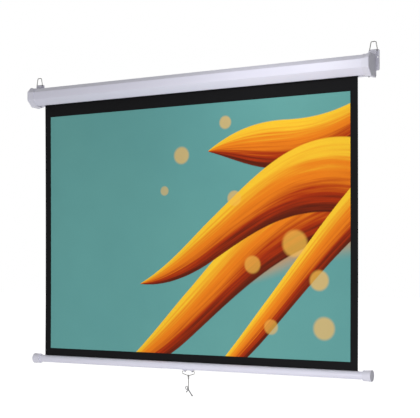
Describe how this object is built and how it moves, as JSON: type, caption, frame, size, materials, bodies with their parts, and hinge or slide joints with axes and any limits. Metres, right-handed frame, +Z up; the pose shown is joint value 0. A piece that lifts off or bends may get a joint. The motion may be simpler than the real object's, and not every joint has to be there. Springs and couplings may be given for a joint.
{
  "type": "wall projection screen",
  "caption": "Pull-down wall projection screen: cloth on a spring roller in a six-sided case, end caps with wire hang loops, round bottom bar with wire handle and cord.",
  "frame": {"origin": "on the wall, midway between the two hang loops, at the height where the wall hooks bear on the loops", "axes": "+X along the case to the viewer's right, +Y into the wall, +Z up; the cloth faces -Y"},
  "size_m": [1.4294, 0.074, 1.214],
  "materials": {
    "case_enamel": "smooth white enamel, semi-gloss",
    "cap_plastic": "moulded light grey-white plastic, fine texture",
    "wire_steel": "zinc-plated steel wire, satin",
    "inner_steel": "plain pressed and turned steel",
    "roller_steel": "galvanised roller tube",
    "inner_plastic": "black moulded plastic",
    "nylon": "natural nylon",
    "cloth_white": "matt white coated projection cloth",
    "cloth_black": "matt black masking coat",
    "cord": "light grey braided cord",
    "hook_plastic": "moulded mid-grey plastic"
  },
  "bodies": {
    "case": {"case_tube": "case_enamel", "end_cap_left": "cap_plastic", "end_cap_right": "cap_plastic", "cap_screw_left_top": "wire_steel", "cap_screw_left_bottom": "wire_steel", "cap_screw_right_top": "wire_steel", "cap_screw_right_bottom": "wire_steel", "bearing_plate_left": "inner_steel", "bearing_plate_right": "inner_steel", "plate_screw_left_upper": "inner_steel", "plate_screw_left_lower": "inner_steel", "plate_screw_right_upper": "inner_steel", "plate_screw_right_lower": "inner_steel", "idler_bush": "nylon", "ratchet_shaft": "inner_steel", "screen_cloth": "cloth_white", "masking_border": "cloth_black"},
    "roller": {"roller_tube": "roller_steel", "spare_turns": "cloth_white", "idler_plug": "inner_plastic", "idler_pin": "inner_steel", "ratchet_plug": "inner_plastic", "spring_anchor": "inner_plastic", "torsion_spring": "inner_steel", "pawl_rivet_a": "inner_steel", "pawl_rivet_b": "inner_steel"},
    "pawl_a": {"pawl_a": "inner_steel"},
    "pawl_b": {"pawl_b": "inner_steel"},
    "bar": {"weight_bar": "case_enamel", "hem_rod": "nylon", "bar_cap_left": "cap_plastic", "bar_cap_right": "cap_plastic", "handle_saddle": "case_enamel", "saddle_rivet_left": "wire_steel", "saddle_rivet_right": "wire_steel"},
    "handle": {"pull_handle": "wire_steel"},
    "cord": {"cord_knot": "cord", "pull_cord": "cord", "cord_hook": "hook_plastic"},
    "hang_loop_left": {"hang_loop_left": "wire_steel"},
    "hang_loop_right": {"hang_loop_right": "wire_steel"}
  },
  "joints": [
    {"name": "bar_slide", "type": "slide", "parent": "case", "child": "bar", "axis": [0, 0, 1], "range_m": [0, 0.9486], "deforming": ["screen_cloth", "masking_border"]},
    {"name": "roller_spin", "type": "hinge", "parent": "case", "child": "roller", "pos_m": [0, -0.0465, -0.0803], "axis": [1, 0, 0], "range_deg": [0, 3242]},
    {"name": "pawl_a_swing", "type": "hinge", "parent": "roller", "child": "pawl_a", "pos_m": [0.6593, -0.0465, -0.0683], "axis": [1, 0, 0], "range_deg": [0, 20.4]},
    {"name": "pawl_b_swing", "type": "hinge", "parent": "roller", "child": "pawl_b", "pos_m": [0.6593, -0.0465, -0.0923], "axis": [1, 0, 0], "range_deg": [0, 20.4]},
    {"name": "handle_swing", "type": "hinge", "parent": "bar", "child": "handle", "pos_m": [0, -0.02973, -1.1209], "axis": [1, 0, 0], "range_deg": [-70, 70]},
    {"name": "cord_swing", "type": "hinge", "parent": "handle", "child": "cord", "pos_m": [0, -0.02973, -1.1379], "axis": [1, 0, 0], "range_deg": [-75, 75]},
    {"name": "loop_left_swing", "type": "hinge", "parent": "case", "child": "hang_loop_left", "pos_m": [-0.69585, -0.0065, -0.0285], "axis": [1, 0, 0], "range_deg": [0, 85]},
    {"name": "loop_right_swing", "type": "hinge", "parent": "case", "child": "hang_loop_right", "pos_m": [0.69585, -0.0065, -0.0285], "axis": [1, 0, 0], "range_deg": [0, 85]}
  ],
  "couplings": [
    {"joint": "roller_spin", "follows": "bar_slide", "rad_per_m": 59.612}
  ]
}
